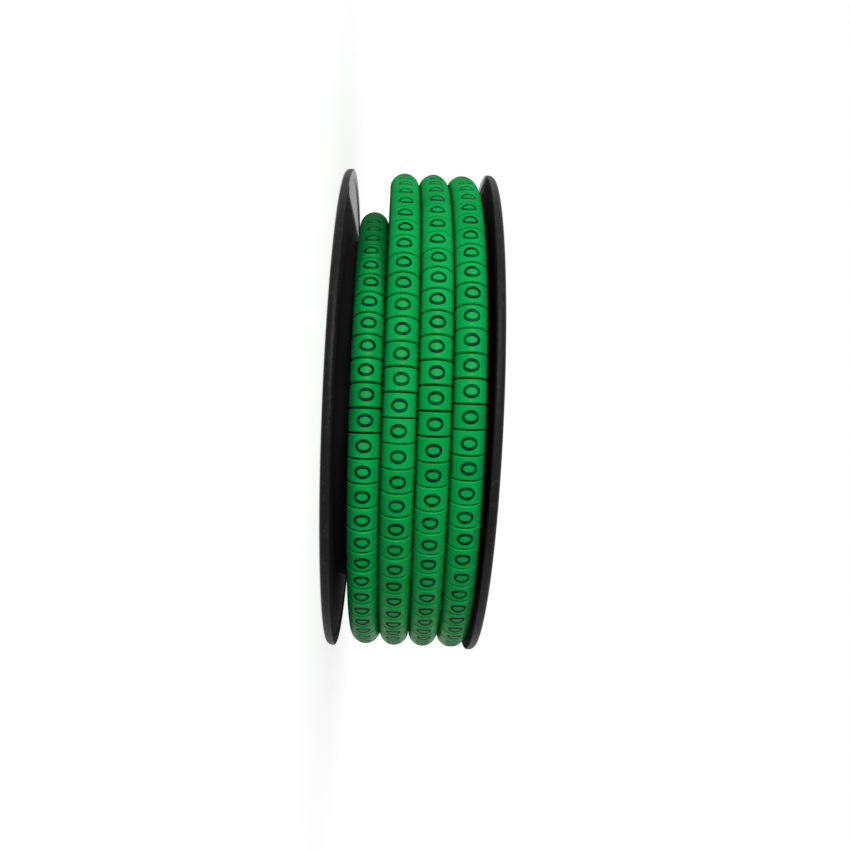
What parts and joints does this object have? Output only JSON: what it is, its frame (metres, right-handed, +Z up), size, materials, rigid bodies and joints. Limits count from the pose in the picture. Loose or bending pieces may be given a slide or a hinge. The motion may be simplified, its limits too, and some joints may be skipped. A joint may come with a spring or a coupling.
{
  "type": "reel of cable markers",
  "caption": "Flanged plastic reel wound with a strip of short soft tubes, part-cut so that each one tears off to slip over a wire as a marker.",
  "frame": {"origin": "middle of the lower flange's outside face, on the reel's axis", "axes": "+Z up along the reel's axis, -Y towards the side that the picture shows"},
  "size_m": [0.104, 0.104, 0.0312],
  "materials": {
    "reel": "black moulded polystyrene, glossy",
    "strip": "green soft PVC, satin"
  },
  "bodies": {
    "root": {"lower_reel_half": "reel", "upper_reel_half": "reel", "marker_strip": "strip"}
  },
  "joints": []
}
